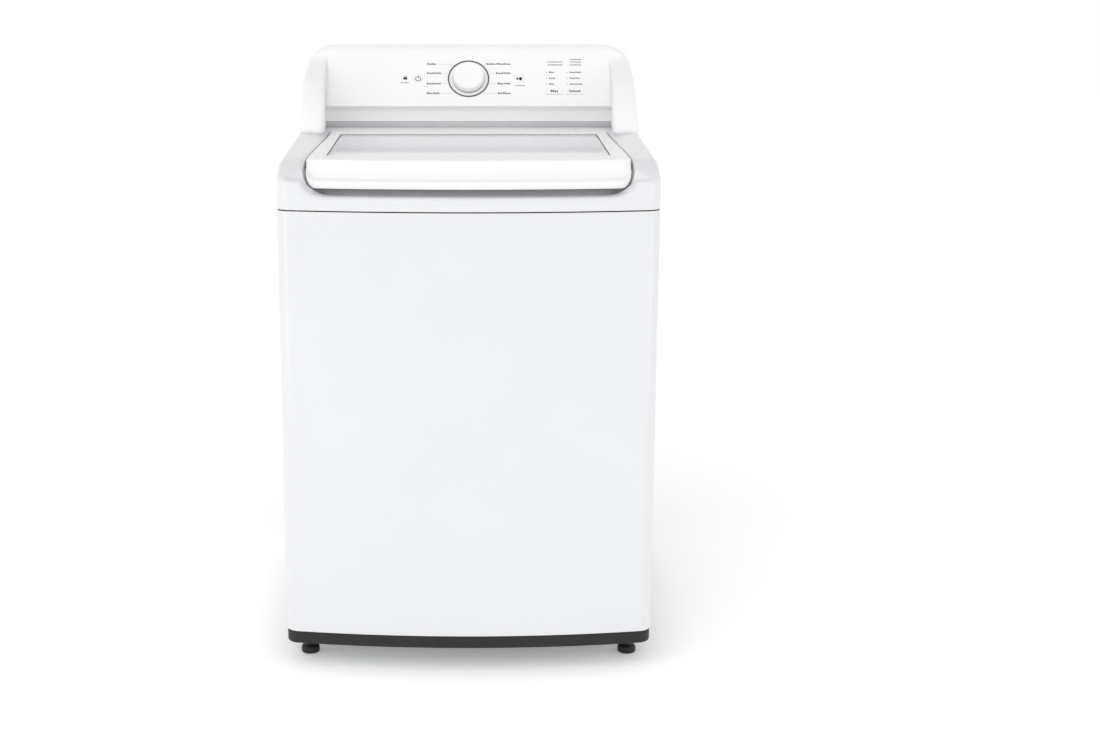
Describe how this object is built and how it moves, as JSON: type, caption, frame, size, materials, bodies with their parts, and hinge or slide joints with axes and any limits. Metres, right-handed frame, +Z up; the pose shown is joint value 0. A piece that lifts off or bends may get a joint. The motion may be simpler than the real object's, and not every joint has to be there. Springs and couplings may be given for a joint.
{
  "type": "top load washing machine",
  "caption": "Free-standing top load washing machine with agitator, hinged lid, sloped control console with dial, and suspended tub.",
  "frame": {"origin": "on the floor, under the middle of the cabinet's width and depth", "axes": "+Z up, +X to the right seen from the front, the front faces -Y"},
  "size_m": [0.686, 0.7205, 1.118],
  "materials": {
    "enamel": "satin enamel",
    "white_abs": "satin moulded",
    "gloss_abs": "polished",
    "black_plastic": "fine texture",
    "grey_plastic": "moulded",
    "steel": "zinc plated",
    "stainless": "rolled stainless",
    "aluminium": "die cast",
    "copper": "enamelled winding",
    "board": "coated board",
    "rubber": "moulded",
    "dark_trim": "satin"
  },
  "bodies": {
    "cabinet": {"cabinet_wrap": "enamel", "top_cover": "enamel", "console_housing": "white_abs", "console_face": "white_abs", "kick_strip": "black_plastic", "lid_lock": "black_plastic", "drain_pump": "black_plastic", "power_gland": "black_plastic", "inlet_valve": "grey_plastic", "drain_hose": "grey_plastic", "dispenser_sleeve": "grey_plastic", "rear_panel": "steel", "base_frame": "steel", "hinge_pin_left": "steel", "hinge_pin_right": "steel", "suspension_rail_left": "steel", "suspension_rail_right": "steel", "suspension_rod_front_left": "steel", "suspension_rod_front_right": "steel", "suspension_rod_rear_left": "steel", "suspension_rod_rear_right": "steel", "control_board": "board", "knob_ring": "dark_trim"},
    "lid": {"lid_frame": "white_abs", "lid_panel": "gloss_abs", "lid_liner": "white_abs", "lid_bumper_left": "rubber", "lid_bumper_right": "rubber", "lid_strike": "steel"},
    "knob": {"knob": "white_abs"},
    "power_button": {"power_button": "white_abs"},
    "start_button": {"start_button": "white_abs"},
    "temp_button": {"temp_button": "white_abs"},
    "options_button": {"options_button": "white_abs"},
    "lock_bolt": {"lid_lock_bolt": "steel"},
    "dispenser_drawer": {"dispenser_drawer": "white_abs"},
    "tub": {"outer_tub": "grey_plastic", "tub_cover": "grey_plastic", "bearing_housing": "aluminium", "upper_bearing": "steel", "lower_bearing": "steel", "stator": "copper", "sump_bellows": "rubber", "suspension_spring_front_left": "steel", "suspension_spring_front_right": "steel", "suspension_spring_rear_left": "steel", "suspension_spring_rear_right": "steel"},
    "basket": {"basket": "stainless", "basket_hub": "aluminium", "balance_ring": "grey_plastic", "spin_tube": "steel"},
    "drive": {"rotor": "steel", "drive_shaft": "steel", "agitator_base": "white_abs", "agitator_auger": "white_abs", "agitator_cap": "gloss_abs"},
    "foot_front_left": {"foot_front_left": "rubber"},
    "foot_front_right": {"foot_front_right": "rubber"},
    "foot_rear_left": {"foot_rear_left": "rubber"},
    "foot_rear_right": {"foot_rear_right": "rubber"}
  },
  "joints": [
    {"name": "lid_hinge", "type": "hinge", "parent": "cabinet", "child": "lid", "pos_m": [0, 0.213, 0.936], "axis": [-1, 0, 0], "range_deg": [0, 100]},
    {"name": "knob_turn", "type": "hinge", "parent": "cabinet", "child": "knob", "pos_m": [0, 0.29091, 1.04972], "axis": [0, -0.829, 0.5592], "continuous": true},
    {"name": "power_button_press", "type": "slide", "parent": "cabinet", "child": "power_button", "axis": [0, 0.829, -0.5592], "range_m": [0, 0.0012], "stiffness_N_per_m": 900, "springref_m": -0.0006},
    {"name": "start_button_press", "type": "slide", "parent": "cabinet", "child": "start_button", "axis": [0, 0.829, -0.5592], "range_m": [0, 0.0012], "stiffness_N_per_m": 900, "springref_m": -0.0006},
    {"name": "temp_button_press", "type": "slide", "parent": "cabinet", "child": "temp_button", "axis": [0, 0.829, -0.5592], "range_m": [0, 0.0012], "stiffness_N_per_m": 900, "springref_m": -0.0006},
    {"name": "options_button_press", "type": "slide", "parent": "cabinet", "child": "options_button", "axis": [0, 0.829, -0.5592], "range_m": [0, 0.0012], "stiffness_N_per_m": 900, "springref_m": -0.0006},
    {"name": "lock_bolt_slide", "type": "slide", "parent": "cabinet", "child": "lock_bolt", "axis": [-1, 0, 0], "range_m": [0, 0.008], "stiffness_N_per_m": 150, "springref_m": -0.002},
    {"name": "drawer_slide", "type": "slide", "parent": "cabinet", "child": "dispenser_drawer", "axis": [0, -1, 0], "range_m": [0, 0.09]},
    {"name": "tub_suspension", "type": "slide", "parent": "cabinet", "child": "tub", "axis": [0, 0, 1], "range_m": [-0.015, 0.015], "stiffness_N_per_m": 12000, "springref_m": 0.03554, "deforming": ["suspension_spring_front_left", "suspension_spring_front_right", "suspension_spring_rear_left", "suspension_spring_rear_right", "sump_bellows"]},
    {"name": "basket_spin", "type": "hinge", "parent": "tub", "child": "basket", "pos_m": [0, 0, 0.5], "axis": [0, 0, 1], "continuous": true},
    {"name": "agitator_turn", "type": "hinge", "parent": "tub", "child": "drive", "pos_m": [0, 0, 0.5], "axis": [0, 0, 1], "continuous": true},
    {"name": "foot_front_left_level", "type": "slide", "parent": "cabinet", "child": "foot_front_left", "axis": [0, 0, -1], "range_m": [0, 0.015]},
    {"name": "foot_front_right_level", "type": "slide", "parent": "cabinet", "child": "foot_front_right", "axis": [0, 0, -1], "range_m": [0, 0.015]},
    {"name": "foot_rear_left_level", "type": "slide", "parent": "cabinet", "child": "foot_rear_left", "axis": [0, 0, -1], "range_m": [0, 0.015]},
    {"name": "foot_rear_right_level", "type": "slide", "parent": "cabinet", "child": "foot_rear_right", "axis": [0, 0, -1], "range_m": [0, 0.015]}
  ]
}
